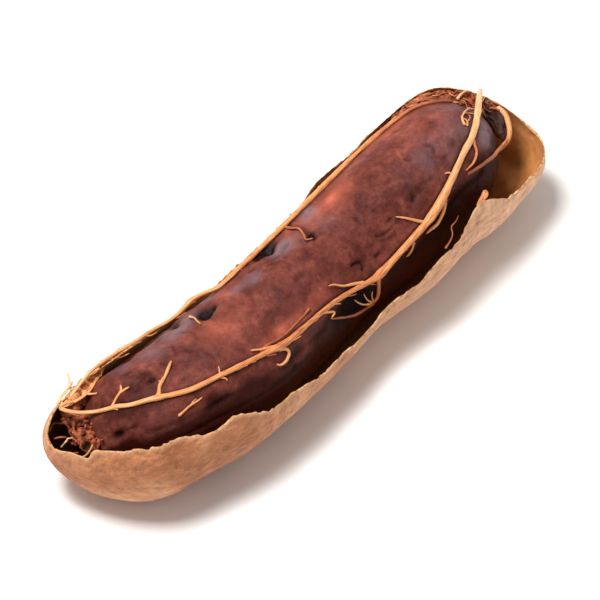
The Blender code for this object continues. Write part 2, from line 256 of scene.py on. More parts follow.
def make_piece(name, materials, surfaces):
    """One mesh object of closed surfaces. Each is its points, quads, kinds of face and point
    values; doubled points at poles and closed seams are merged."""
    points, quads, kinds, values = zip(*surfaces)
    starts = np.cumsum([0, *map(len, points)])
    quads = [part + start for part, start in zip(quads, starts)]
    kinds = [np.broadcast_to(kind, len(part)) for kind, part in zip(kinds, quads)]
    mesh = bpy.data.meshes.new(name)
    mesh.from_pydata((np.concatenate(points) * MM).tolist(), [], np.concatenate(quads).tolist())
    mesh.polygons.foreach_set("material_index", np.concatenate(kinds).astype(np.int32))
    for key in values[0]:
        value = np.concatenate([part[key] for part in values]).astype(np.float32)
        flat = value.ndim == 1
        made = mesh.attributes.new(key, "FLOAT" if flat else "FLOAT_VECTOR", "POINT")
        made.data.foreach_set("value" if flat else "vector", value.ravel())
    cage = bmesh.new()
    cage.from_mesh(mesh)
    bmesh.ops.remove_doubles(cage, verts=cage.verts, dist=1e-7)
    cage.to_mesh(mesh)
    cage.free()
    mesh.shade_smooth()
    for material in materials:
        mesh.materials.append(material)
    piece = bpy.data.objects.new(name, mesh)
    bpy.context.scene.collection.objects.link(piece)
    return piece


def paint(code):
    """The linear colour of an sRGB hex value."""
    value = np.array([int(code[i:i + 2], 16) for i in (1, 3, 5)]) / 255
    return (*np.where(value <= 0.04045, value / 12.92, ((value + 0.055) / 1.055) ** 2.4), 1.0)


def new_material(name):
    """A new material with an empty node tree, and the function that adds a node to it."""
    material = bpy.data.materials.new(name)
    material.use_nodes = True
    tree = material.node_tree
    tree.nodes.clear()

    def add(kind, inputs=(), stops=(), **settings):
        """Adds a node: its settings, its inputs in order or by name or number, and the stops of
        a colour ramp as (place, colour). A node as an input means its first output in use."""
        made = tree.nodes.new("ShaderNode" + kind)
        for key, value in settings.items():
            setattr(made, key, value)
        for key, value in inputs.items() if isinstance(inputs, dict) else enumerate(inputs):
            if isinstance(value, bpy.types.Node):
                value = next(output for output in value.outputs if output.enabled)
            if isinstance(value, bpy.types.NodeSocket):
                tree.links.new(value, made.inputs[key])
            else:
                made.inputs[key].default_value = value
        for number, (place, code) in enumerate(stops):
            elements = made.color_ramp.elements
            stop = elements[number] if number < 2 else elements.new(place)
            stop.position, stop.color = place, paint(code)
        return made

    return material, add


# Scurfy husk: dry cork-like skin that dried on the pod. Matt tan with a fine pebbled grain a
# little over 1 mm across, pale scurf on the grains, dark freckles and blotches 1 cm wide.
husk_skin, add = new_material("scurfy_tamarind_husk")
place = add("TexCoord").outputs["Object"]
edge, pinch = (add("Attribute", attribute_name=name).outputs["Fac"] for name in ("edge", "waist"))
drawn = add("Mapping", {"Vector": place, "Scale": (0.6, 1, 1)})
streak = add("Mapping", {"Vector": place, "Scale": (1, 0.22, 0.22)})
blotch, mealy, grit, crimp = (
    add("TexNoise", {"Vector": vector, "Scale": scale, "Detail": detail, "Roughness": rough})
    for vector, scale, detail, rough in (
        (place, 85, 4, 0.6), (drawn, 620, 4, 0.7), (place, 1900, 2, 0.5), (streak, 900, 1, 0.5)))
tan = add("ValToRGB", [blotch], ((0.32, "#a5653f"), (0.5, "#bd7d54"), (0.68, "#d0976e")))
along = add("SeparateXYZ", [place]).outputs["X"]
stalk = add("MapRange", [along, -0.01, 0.04, 0, 0.85])
pale = add("Mix", {0: stalk, 6: tan, 7: paint("#eab792")}, data_type="RGBA")
grain = add("TexVoronoi", {"Vector": drawn, "Scale": 820})
scurf = add("MapRange", [mealy, 0.32, 0.68, 0.76, 1.2])
freckle = add("MapRange", [grit, 0.28, 0.42, 0.7, 1])
shade = add("Math", [scurf, freckle], operation="MULTIPLY")
speckled = add("VectorMath", {0: pale, "Scale": shade}, operation="SCALE")
rub = add("MapRange", [edge, 0, 0.9, 0.55, 0])
rubbed = add("Mix", {0: rub, 6: speckled, 7: paint("#d9ac82")}, data_type="RGBA")
gather = add("Math", [stalk, pinch], operation="MAXIMUM")
crimped = add("Math", [crimp, gather], operation="MULTIPLY")
line = add("MapRange", [crimp, 0.35, 0.65, -0.13, 0.07])
lined_up = add("Math", [line, gather, 1], operation="MULTIPLY_ADD")
grooved = add("VectorMath", {0: rubbed, "Scale": lined_up}, operation="SCALE")
pebble = add("Math", [grain, -0.8, crimped], operation="MULTIPLY_ADD")
rough = add("Math", [grit, 0.5, pebble], operation="MULTIPLY_ADD")
bumped = add("Bump", {"Height": rough, "Strength": 0.9, "Distance": 0.0004})
shader = add("BsdfPrincipled", {
    "Base Color": grooved, "Roughness": 0.86, "Sheen Weight": 0.12, "Sheen Roughness": 0.5,
    "Specular IOR Level": 0.25, "Normal": bumped})
add("OutputMaterial", [shader])

# Broken husk edge: the dry corky wall where it snapped. Pale tan, granular, with darker pits.
husk_break, add = new_material("broken_husk_edge")
place = add("TexCoord").outputs["Object"]
crumble = add("TexNoise", {"Vector": place, "Scale": 1300, "Detail": 3, "Roughness": 0.7})
corky = add("ValToRGB", [crumble], ((0.32, "#8a5530"), (0.45, "#c48a58"), (0.62, "#e0b382")))
bumped = add("Bump", {"Height": crumble, "Strength": 0.8, "Distance": 0.0003})
shader = add("BsdfPrincipled", {
    "Base Color": corky, "Roughness": 0.9, "Specular IOR Level": 0.2, "Normal": bumped})
add("OutputMaterial", [shader])

# Husk lining: the thin papery inner skin, polished by the drying fruit. Warm brown by the edge
# and darker below as painted shade, with faint veins along the pod and dark brown at the tip.
husk_lining, add = new_material("papery_husk_lining")
place = add("TexCoord").outputs["Object"]
edge = add("Attribute", attribute_name="edge").outputs["Fac"]
veins = add("Mapping", {"Vector": place, "Scale": (0.14, 1, 1)})
vein = add("TexNoise", {"Vector": veins, "Scale": 700, "Detail": 2})
stain = add("TexNoise", {"Vector": place, "Scale": 160, "Detail": 4})
# painted shade: darker the further below the torn edge, deeper in the hollow
depth = add("MapRange", [edge, 0, 18, 0, 1])
tinted = add("Math", [stain, 0.35, depth], operation="MULTIPLY_ADD")
brown = add("ValToRGB", [tinted], (
    (0.1, "#dc9a5f"), (0.32, "#d8935a"), (0.7, "#d08a4c"), (1, "#ac6c3c")))
vein_shade = add("MapRange", [vein, 0.3, 0.7, 0.86, 1.12])
along = add("SeparateXYZ", [place]).outputs["X"]
# dark brown from 42 mm out towards the tip
darker_at_tip = add("MapRange", [along, -0.042, -0.049, 0, 0.85])
stained = add("Mix", {0: darker_at_tip, 6: brown, 7: paint("#4a1c10")}, data_type="RGBA")
lined = add("VectorMath", {0: stained, "Scale": vein_shade}, operation="SCALE")
bumped = add("Bump", {"Height": vein, "Strength": 0.35, "Distance": 0.0002})
shader = add("BsdfPrincipled", {
    "Base Color": lined, "Roughness": 0.5, "Specular IOR Level": 0.4, "Normal": bumped})
add("OutputMaterial", [shader])

shell = make_piece("pod_shell", (husk_skin, husk_break, husk_lining), [make_husk()])
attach(shell, "root")
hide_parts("shell")

# ------------------------ pulp
# The fruit's flesh: one soft sausage of sticky dried paste round the seeds, dark red-brown. It
# shrank off the husk as it ripened, so it lies loose in it, creased and pitted.
PULP_START, PULP_END, PULP_ROUNDINGS = -50.0, 50.0, (11.0, 13.0)
PULP_FLOOR = WALL + 0.45                        # it dried 0.45 mm clear of the husk
# x, centre y, radius, and how far the underside is lifted off the husk
PULP_STATIONS = (
    (-50, -1.5, 9, 0), (-44, -3.4, 10.6, 0), (-32, -4.6, 11.6, 0), (-18, -3.9, 12, 0),
    (-4, -0.9, 12, 0), (10, 1.9, 11.8, 0.2), (24, 3.5, 12, 0.6), (36, 5.1, 11.6, 1.6),
    (50, 6.3, 10, 4.2),
)
GROOVE_GAP, GROOVE_REACH, CALM_BAND = 0.04, 2.5, 1.6    # how the flesh fits round the fibres
PULP_COLUMNS, PULP_ROWS, WAY_STEP = 330, 200, 0.3


def pulp_section(x):
    """Centre y, centre z and radius of the pulp's round section at x."""
    body = through(PULP_STATIONS, 2, x)
    radius = body * dome(x, PULP_START, PULP_END, *PULP_ROUNDINGS)
    return through(PULP_STATIONS, 1, x), PULP_FLOOR + through(PULP_STATIONS, 3, x) + body, radius


def on_pulp(x, angle, lift=0.0):
    """Points at an angle from the pulp's crown, positive towards the camera, lift above it. The
    flesh itself, at lift 0, is pressed in wherever it would leave the husk."""
    x, turn = np.broadcast_arrays(np.asarray(x, float), np.radians(angle))
    y, z, radius = pulp_section(x)
    across, height = y - (radius + lift) * np.sin(turn), z + (radius + lift) * np.cos(turn)
    if lift == 0.0:
        shell_y, shell_z, shell_radius = shell_section(x)
        off_y, off_z = across - shell_y, height - shell_z
        room = np.maximum(shell_radius - PULP_FLOOR, 0)
        squeeze = np.minimum(room / np.maximum(np.hypot(off_y, off_z), 1e-6), 1)
        squeeze = np.where(off_z < 0, squeeze, 1)
        across = shell_y + off_y * squeeze
        height = np.maximum(shell_z + off_z * squeeze, PULP_FLOOR)
    return np.stack((x, across, height), -1)


def run_along(way):
    """How far each point of a way is from its start, measured along it."""
    return np.concatenate(([0], np.cumsum(np.linalg.norm(np.diff(way, axis=0), axis=1))))


def smooth_path(points, step=WAY_STEP):
    """Points a step apart on the cubic curve through the given ones."""
    run = run_along(points)
    table = np.column_stack((run, points))
    place = np.linspace(0, run[-1], max(8, int(run[-1] / step)))
    return np.column_stack([through(table, axis, place) for axis in (1, 2, 3)])


def joined(pairs, count):
    """Places on the smooth curve through pairs of x and angle, evenly shared out over them."""
    table = np.column_stack((np.arange(len(pairs)), pairs))
    share = np.linspace(0, len(pairs) - 1, count)
    return through(table, 1, share), through(table, 2, share)


def route(entries, lift):
    """The way of a fibre. A pair is x and angle on the pulp, a triple is free x, y, z. Pairs in a
    row are joined over the pulp's round, and the whole way is then smoothed."""
    points = []
    for size, part in groupby(entries, len):
        part = list(part)
        if size == 3:
            points.extend(part)
        elif len(part) == 1:
            points.append(on_pulp(*part[0], lift))
        else:
            points.extend(on_pulp(*joined(part, 4 * (len(part) - 1) + 1), lift))
    return smooth_path(points)


# The ways of the two long fibres, which the pulp's grooves need too, and their (x, radius)
NEAR_WAY = route((
    (-51.7, 6, 17.7), (-51.1, 4.3, 18.1), (-49.7, 2.6, 18.1), (-47.8, 1.1, 18.2), (-45.3, -7),
    (-43.3, 6.4), (-39.3, 16.5), (-34, 25.5), (-28, 30), (-20, 37), (-14, 44.4), (-7.3, 48),
    (0, 52), (5.3, 57.8), (10, 64), (13.3, 63.5), (20, 59), (26.7, 54), (33.3, 43), (38, 33.5),
    (41.4, 27.8), (44, 21), (46.4, 4.6, 23.4), (49.3, 7.4, 22.4), (52.1, 10.3, 21)), lift=0.4)
FAR_WAY = route((
    (-49.6, 5.6, 19.4), (-47.6, 6, 20.1), (-45.6, 6.4, 20.7), (-43.6, 6.9, 20.8),
    (-42, 7.15, 20.6), (-40.3, 7.5, 20.2), (-38.1, 7.8, 19.7), (-36.1, 7.9, 19.5),
    (-33.7, 7.9, 19.2), (-31.2, 8, 18.9), (-29.1, 8.25, 18.5), (-27.1, 8.35, 18.1),
    (-24.8, 8.3, 17.9), (-22.6, 8.15, 18.2), (-20.7, 8.1, 18.9), (-18.8, 8.05, 19.7),
    (-17.3, 7.6, 20.4), (-16, 6.9, 21), (-14.3, 6, 21.7), (-12, -45), (-9, -43), (-2, -40),
    (6, -40), (12, -42), (18, -45), (28, -50), (34, -49), (40, -44), (43, -39), (45.6, -32)),
    lift=0.34)
NEAR_THICK = (
    (-52, 0.36), (-46, 0.42), (-38, 0.46), (-30, 0.46), (-20, 0.48), (-14, 0.58), (-7, 0.48),
    (0, 0.46), (7, 0.5), (12, 0.68), (18, 0.6), (24, 0.7), (28, 0.82), (32, 0.7), (37, 0.58),
    (43, 0.6), (49, 0.58), (52, 0.54),
)
FAR_THICK = (
    (-50, 0.26), (-44, 0.34), (-36, 0.38), (-24, 0.42), (-18, 0.5), (-10, 0.5), (0, 0.56),
    (20, 0.56), (36, 0.46), (44, 0.36), (48, 0.24),
)
# x, angle, reach along, reach across, depth: hollows where the flesh drew together
DENTS = (
    (-20.8, -35, 1.3, 2, 1.6), (-18.9, -33, 1, 1, 1.1), (-2.9, -34, 1, 1.5, 1.6),
    (4.7, -9, 1, 0.6, 0.9), (-25.2, -55, 0.9, 1.3, 0.7), (-30.9, -59, 2.3, 0.7, 0.7),
    (-36.2, -56, 1.6, 1, 0.4), (-4.6, -37, 1.6, 0.9, 1.4), (-1.5, -33, 1.2, 0.6, 0.7),
    (-38.5, -15, 0.7, 0.8, 0.45), (-38.6, -5, 0.6, 0.9, 0.4), (-39.8, -29, 1.2, 0.7, 0.4),
    (-41.2, -6, 0.6, 0.7, 0.35), (-45.3, 28, 0.5, 0.4, 0.5), (-47.4, 25, 0.9, 0.8, 0.9),
    (23.4, 30, 0.5, 0.4, 0.45), (24.9, 29, 0.4, 0.5, 0.4), (19.5, 38, 0.7, 0.4, 0.4),
    (4.5, -3, 0.7, 0.5, 0.5), (-12, 60, 3, 1.2, 0.5), (30, 66, 6, 2.5, 0.6),
    (13, 40, 0.6, 0.4, 0.35), (-30, 50, 3.5, 0.8, 0.35), (-3, 30, 0.5, 0.4, 0.3),
    (8, 33, 0.4, 0.8, 0.35), (-29, -8, 0.6, 0.9, 0.35), (46.8, -12, 0.8, 0.8, 0.5),
    (44.9, 5, 0.6, 1, 0.4), (-45.5, -52, 4.5, 4.5, -1.5), (18.5, 33, 0.9, 0.35, 0.7),
    (24.6, 33, 0.8, 0.5, 0.7), (12.8, 50, 0.9, 0.4, 0.6), (35, 25, 0.8, 0.4, 0.35),
    (38, 21, 0.7, 0.4, 0.35), (4, 72, 4.6, 2.6, 1.5), (-44.3, -10, 0.5, 1.3, 0.6),
    (-37.6, -4, 0.6, 0.6, 0.5),
)
# broad sags in the same columns; below 0 the flesh swells
SAGS = (
    (2, -14, 5, 3, 0.35), (-22, 5, 5, 7, 0.45), (9, 0, 6, 7, 0.4), (33, 20, 5, 6, 0.25),
    (-33, -65, 8, 3.5, -0.8), (-22, -62, 4, 3, -0.5),
)
# ways of creases as (x, angle), then their half width and depth; below 0 is a raised thread
CREASES = (
    (((3.9, -38), (4.6, -28), (4.9, -16), (5, -4)), 0.42, 0.75),
    (((3.2, -38), (3.8, -28), (4, -16), (3.4, -5), (3.6, 0)), 0.3, -0.35),
    (((-8.5, -30), (-6, -24), (-2.5, -17), (0.5, -20)), 0.45, 0.35),
    (((-5.5, -18), (-3.6, -12), (-1.2, -8)), 0.35, 0.3),
    (((-33, -10), (-31, -2), (-31.5, 6)), 0.45, 0.22),
    (((14, -20), (16.5, -8), (15.5, 6)), 0.5, 0.2), (((26, -30), (28, -14), (27, 0)), 0.5, 0.18),
    (((-14, -30), (-12.5, -15), (-13.5, 2)), 0.5, 0.2),
    (((-44, 42), (-30, 50), (-16, 60), (-4, 66)), 0.5, 0.3),
    (((-40, 58), (-26, 66), (-12, 74)), 0.45, 0.28),
    (((8, 72), (20, 74), (32, 64), (40, 60)), 0.5, 0.35),
    (((-42, -13), (-39.5, -10), (-37.5, -14)), 0.35, 0.3),
    (((7.2, 41), (8.6, 43), (9.2, 47), (8.7, 51)), 0.32, 0.75),
    (((9.6, 48), (10.2, 51.5), (9.8, 55)), 0.34, -0.4),
    (((14.6, 39.5), (15.6, 42.5), (17.4, 43)), 0.26, -0.35),
    (((14.4, 37), (15.8, 39.5), (17.6, 40)), 0.26, 0.5),
    (((-38, -20), (-37.2, -12), (-38, -4)), 0.4, 0.65),
    (((-31, -28), (-30.2, -22), (-30.9, -15)), 0.3, 0.45),
    (((-26.4, -31), (-25.6, -22), (-26.2, -12)), 0.3, 0.4),
    (((33.4, 4), (34.4, 10), (33.6, 17), (34.2, 22)), 0.32, 0.35),
    (((28.6, -4), (29.6, 1), (28.9, 6)), 0.28, 0.35),
)
# x, angle, reach along, reach across, amount: red where light comes through, painted sheen, and
# darker flesh mixed with painted shade
GLOWS = (
    (-18, 34, 2.2, 1, 0.7), (-12, 36, 3, 1.2, 0.75), (-6.5, 40, 2.6, 1.2, 0.8),
    (-2, 36, 1.8, 0.9, 0.25), (14.2, -24, 4.5, 2.4, 0.9), (23, -38, 4, 1.5, 0.45),
    (34, -40, 6, 2, 0.5), (-36, 22, 4, 2, 0.12), (38, -14, 5, 4, 0.15), (-22, -12, 4.4, 4, 0.36),
    (-15, -34, 4, 3, 0.35), (3, -32, 3, 2, 0.3), (4, -12, 5, 2.4, 0.25),
)
# painted sheen: violet-grey where the flesh's top catches a broad reflection of the light
LILAC_SHEENS = (
    (-39, -50, 4, 3, 0.5), (-33, -38, 5, 3.4, 0.45), (-27, -42, 4, 3, 0.6),
    (-22, -46, 2.6, 2.2, 0.7), (-31, -22, 4, 2, 0.15), (2, -10, 4, 2, 0.3), (8, -8, 4, 3, 0.35),
    (-16.5, -46, 2, 1.6, 0.7), (8.4, -29, 2.2, 1.9, 1.7), (-0.6, -23, 3.4, 1.7, 1.2),
    (-9, -21, 1.9, 1.7, 1.1), (-13, -27, 3, 1.5, 0.7), (22, -34, 3, 1.2, 0.5),
    (35, 18, 6, 4, 0.45), (26, 4, 12, 6, 0.25), (45, 36, 2.8, 2.4, 1.1), (47.5, 12, 3, 3, 0.5),
    (-4, 14, 4, 4, 0.2), (42, -4, 6, 8, 0.35),
)
# darker patches of the flesh, and painted shade in the gaps under the husk's edge and the fibres
DARKS = (
    (-33, 9, 6, 4.5, 0.3), (-29, -17, 4, 2.5, 0.15), (-17, 22, 5, 3.5, 0.3), (-3, 29, 3, 1.6, 0.3),
    (8, 40, 2.4, 1.6, 0.45), (20, 2, 4, 4, 0.15), (25, 20, 3.5, 2.5, 0.2), (-43, -2, 4, 3, 0.22),
    (-44, 18, 4, 4, 0.25), (22, 26, 14, 5, 0.22), (-44, -10, 5, 5, 0.3),
    (-4.2, -31, 1.5, 0.9, 0.9), (4, 71, 6, 3, 1), (-19, -67, 5, 2.2, 0.8), (-26, -64, 3, 2, 0.5),
    (-31, -64, 4, 1.8, 0.6), (-38, -64, 4, 1.6, 0.7), (12, 24, 6, 4, 0.15),
    (-39, 2, 2.5, 2.5, 0.2), (38, 28, 6, 2, 0.2),
)
# x and the angle where the painted shade of the underside begins, on the side away from the
# light; how far round it takes to darken, and how much lower it begins on the far side
SHADE_EDGE = (
    (-50, 34), (-45, 38), (-40, 34), (-34, 30), (-28, 36), (-22, 46), (-16, 56), (-9, 62),
    (-3, 52), (2, 54), (8, 64), (14, 60), (20, 54), (30, 56), (40, 44), (50, 36),
)
SHADE_BAND, FAR_SHADE_SHIFT = 15, 26


def spread(x, angle, reach_unit, table):
    """Bell curves over the pulp, summed. Each row of the table is x, angle, reach along, reach
    across and height; across is measured on the pulp's round."""
    total = 0.0
    for at_x, at_angle, along, across, height in table:
        aside = np.radians(angle - at_angle) * reach_unit
        total = total + height * np.exp(-(((x - at_x) / along) ** 2) - (aside / across) ** 2)
    return total


def nearest(points, way):
    """For each point, its distance to the nearest sample of a way and that sample's place."""
    best = np.full(points.shape[:-1], np.inf)
    which = np.zeros(points.shape[:-1], int)
    for number, sample in enumerate(way):
        distance = ((points - sample) ** 2).sum(-1)
        closer = distance < best
        best, which = np.where(closer, distance, best), np.where(closer, number, which)
    return np.sqrt(best), way[which], which


def make_flesh():
    """The pulp's points, quads and values: the round section carried along X, then swellings,
    hollows, creases and fine grain along its normals, and a groove under each long fibre."""
    x = even_columns(PULP_START, PULP_END, pulp_section, PULP_COLUMNS)
    angle = np.linspace(-180, 180, PULP_ROWS, endpoint=False)[None]
    x = x[:, None]
    base = on_pulp(x, angle)
    out = normals_of(base, wrapped=True)
    radius = pulp_section(x)[2]
    dents = spread(x, angle, radius, DENTS)
    cuts = 0.0
    for way, half_width, depth in CREASES:
        gap = np.inf
        for at_x, at_angle in zip(*joined(way, 16 * (len(way) - 1))):
            gap = np.minimum(gap, np.hypot(x - at_x, np.radians(angle - at_angle) * radius))
        cuts = cuts + depth * np.exp(-((gap / half_width) ** 2))
    swell = 0.26 * mottle(base, 9.0, 41) + 0.14 * mottle(base, 3.6, 42) - 0.14
    fine = 0.07 * mottle(base, 1.5, 43) + 0.035 * mottle(base, 0.75, 44)
    pits = 0.45 * np.clip(mottle(base, 1.9, 45) - 0.62, 0, 1) / 0.38
    ends = np.clip(radius / 6, 0, 1)
    relief = (swell + fine - pits - dents - cuts - spread(x, angle, radius, SAGS)) * ends
    sink, seat = 0.0, np.full(base.shape[:-1], 9.0)
    for way, thick in ((NEAR_WAY, NEAR_THICK), (FAR_WAY, FAR_THICK)):
        distance, centre, which = nearest(base, way)
        fibre = through(thick, 1, way[which, 0]) + GROOVE_GAP
        off = ((base - centre) * out).sum(-1)
        inside = np.where(distance < GROOVE_REACH, off**2 - distance**2 + fibre**2, -1)
        sink = np.maximum(sink, np.where(inside > 0, off + np.sqrt(np.maximum(inside, 0)), 0))
        seat = np.minimum(seat, distance - fibre)
    calm = np.clip(seat / CALM_BAND, 0, 1)
    relief = relief * (0.25 + 0.75 * calm) + 0.16 * np.exp(-((seat - 0.25) / 0.35) ** 2)
    points = base + out * (relief - sink)[..., None]
    glow = spread(x, angle, radius, GLOWS) * (0.75 + 0.5 * mottle(base, 2.2, 46))
    # painted sheen: the violet-grey share, strongest in the patches above
    bloom = spread(x, angle, radius, LILAC_SHEENS) * (0.75 + 0.5 * mottle(base, 2.8, 47)) * 1.4 - 0.2
    # painted shade: darker in the dents, creases and pits, and along the line where each fibre
    # sits
    hollow = dents * 1.3 + np.clip(cuts, 0, 1) + pits * 1.1
    hollow = np.maximum(hollow, 0.8 * np.exp(-((seat / 0.45) ** 2)))
    # painted shade: darker past SHADE_EDGE, on the side turned from the light, and in DARKS
    under = np.abs(angle + 9 * mottle(base, 2.6, 48)) - through(SHADE_EDGE, 1, x)
    shade = np.clip(np.where(angle > 0, under, under - FAR_SHADE_SHIFT) / SHADE_BAND, 0, 1)
    shade = shade + spread(x, angle, radius, DARKS) * (1 + 0.4 * mottle(base, 2, 49))
    shade = np.clip(shade, 0, 1)
    shade = shade * shade * (3 - 2 * shade)
    values = {"glow": glow, "bloom": bloom, "hollow": hollow, "shade": shade}
    values = {name: np.clip(value, 0, 1).ravel() for name, value in values.items()}
    return points.reshape(-1, 3), grid_quads(len(x), PULP_ROWS), 0, values


# Tamarind pulp: sticky sugared paste, air-dried in the pod. Dark red-brown with a low moist
# sheen, a painted violet-grey sheen in places, orange-red where it is thin and lets light in,
# and painted shade on its underside, in its hollows and along the fibres.
flesh_paste, add = new_material("sticky_tamarind_paste")
place = add("TexCoord").outputs["Object"]
glow, bloom, hollow, shade = (add("Attribute", attribute_name=name).outputs["Fac"]
                              for name in ("glow", "bloom", "hollow", "shade"))
cloud, region, fleck, wrinkle = (
    add("TexNoise", {"Vector": place, "Scale": scale, "Detail": detail, "Roughness": rough})
    for scale, detail, rough in ((260, 6, 0.68), (75, 3, 0.5), (1000, 4, 0.65), (420, 5, 0.62)))
flesh = add("ValToRGB", [cloud], (
    (0.32, "#48211c"), (0.45, "#612d25"), (0.57, "#783c31"), (0.7, "#92503f")))
plum = add("MapRange", [region, 0.46, 0.64, 0, 0.45])
# over the flesh: purple patches, painted sheen, light through thin parts, and painted shade
for amount, colour in ((plum, "#532b27"), (bloom, "#785c5f"), (glow, "#c8684f"),
                       (shade, "#350f09"), (hollow, "#1a0806")):
    flesh = add("Mix", {0: amount, 6: flesh, 7: paint(colour)}, data_type="RGBA")
flecks = add("MapRange", [fleck, 0.3, 0.72, 0.83, 1.17])
flecked = add("VectorMath", {0: flesh, "Scale": flecks}, operation="SCALE")
wet = add("MapRange", [cloud, 0.35, 0.7, 0.42, 0.6])
bumped = add("Bump", {"Height": wrinkle, "Strength": 0.6, "Distance": 0.0008})
shader = add("BsdfPrincipled", {
    "Base Color": flecked, "Roughness": wet, "Specular IOR Level": 0.1, "Normal": bumped})
add("OutputMaterial", [shader])

pulp = make_piece("fruit_pulp", (flesh_paste,), [make_flesh()])
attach(pulp, "root")
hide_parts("pulp")

# ------------------------ near strand
# The thick woody fibre along the pulp's near side, one of the veins that fed the seeds. It dried
# with the pulp and is stuck to it, with side twigs, knots and root hairs broken short.
FIBRE_FLAT = 0.9            # height to width of its section, and length to radius of its domes
# how far a twig strays, how much wider its root is and over what share of it, and how much its
# last quarter thins
TWIG_DRIFT, TWIG_FLARE, FLARE_SHARE, TIP_TAPER = 0.16, 0.5, 0.12, 0.4


def tube_space(run, turn, reach, stretch=1.0):
    """Where the noise of a surface round a way is read: on a straight tube of radius reach, as
    long as the way shortened by stretch."""
    tube = (reach * np.cos(turn), reach * np.sin(turn), run[:, None] / stretch)
    return np.stack(np.broadcast_arrays(*tube), -1)


def fibre(way, radius, sides, seed, tone, kind=0):
    """A closed round fibre along a way, with a radius at each of its points. Its section is a
    little flat on the pulp, and low ridges run along it; both ends are domed. Its tone goes from
    0, rusty, to 1, bleached."""
    run = run_along(way)
    round_off = dome(run, 0, run[-1], FIBRE_FLAT * radius[0], FIBRE_FLAT * radius[-1], 2)
    ahead = unit(np.gradient(way, axis=0))
    y, z, _ = pulp_section(way[:, 0])
    away = np.stack((0 * y, way[:, 1] - y, way[:, 2] - z), -1)
    side = unit(np.cross(ahead, away))
    up = np.cross(side, ahead)
    turn = np.linspace(0, 2 * math.pi, sides, endpoint=False)[None]
    ridge = tube_space(run, turn, 1.6, 3.5)
    rough = 1 + 0.13 * mottle(ridge, 1.0, seed + 51) + 0.07 * mottle(ridge, 0.4, seed + 52)
    reach = ((radius * round_off)[:, None] * rough)[..., None]
    points = way[:, None] + reach * (np.cos(turn)[..., None] * side[:, None]
                                     - FIBRE_FLAT * np.sin(turn)[..., None] * up[:, None])
    values = {"ridge": tube_space(run, turn, 1.6).reshape(-1, 3),
              "tone": np.repeat(np.broadcast_to(tone, len(way)), sides)}
    return points.reshape(-1, 3), grid_quads(len(way), sides), kind, values


def twig(entries, root, tip, seed, tone=0.6, lift=0.25, sides=8, kind=0):
    """A side twig: a fibre that flares where it leaves its strand and thins to its tip."""
    way = route(entries, lift)
    share = np.linspace(0, 1, len(way))
    drift = np.stack([mottle(way, 1.8, seed + 60 + axis) for axis in range(3)], -1)
    way = way + TWIG_DRIFT * drift * share[:, None]
    flare = TWIG_FLARE * root * np.exp(-((share / FLARE_SHARE) ** 2))
    radius = (root + (tip - root) * share + flare) * (1 + 0.16 * mottle(way, 1.2, seed + 63))
    radius = radius * (1 - TIP_TAPER * np.clip((share - 0.75) / 0.25, 0, 1) ** 2)
    return fibre(way, radius, sides, seed, tone, kind)


def knotted(way, thick, knots):
    """The radii of a way from an (x, radius) table, swollen round each knot by a bell curve of
    (x, length, growth)."""
    radius = through(thick, 1, way[:, 0]) * (1 + 0.08 * mottle(way, 1.6, 71))
    for x, length, growth in knots:
        radius = radius * (1 + growth * np.exp(-(((way[:, 0] - x) / length) ** 2)))
    return radius


def side_and_up(way):
    """Two directions at each point of a way: level across it, and square to that and the way."""
    ahead = unit(np.gradient(way, axis=0))
    side = unit(np.cross(ahead, (0, 0, 1.0)))
    return side, np.cross(side, ahead)


def frayed(way, thick, count, seed):
    """Fine fibrils that lifted off a fibre: each leaves it at a sharp angle and ends close by, as
    an unwound yarn does. They are spread evenly along the way, to both sides."""
    draw = np.random.default_rng(seed)
    side, _ = side_and_up(way)
    fibrils = []
    for number, start in enumerate(np.linspace(6, len(way) - 16, count).astype(int)):
        place = start + np.arange(5) * draw.integers(1, 3)
        hand = draw.choice((-1.0, 1.0))
        off = through(thick, 1, way[place, 0]) * (0.75 + draw.uniform(0.05, 0.30) * np.arange(5))
        points = way[place] + hand * off[:, None] * side[place]
        points[:, 2] -= 0.3 * off * np.abs(side[place, 1])
        size = draw.uniform(0.07, 0.15)
        fibrils.append(twig(points[::draw.choice((-1, 1))], size, size * 0.7, seed + number,
                            sides=5, tone=draw.uniform(0.2, 0.8)))
    return fibrils


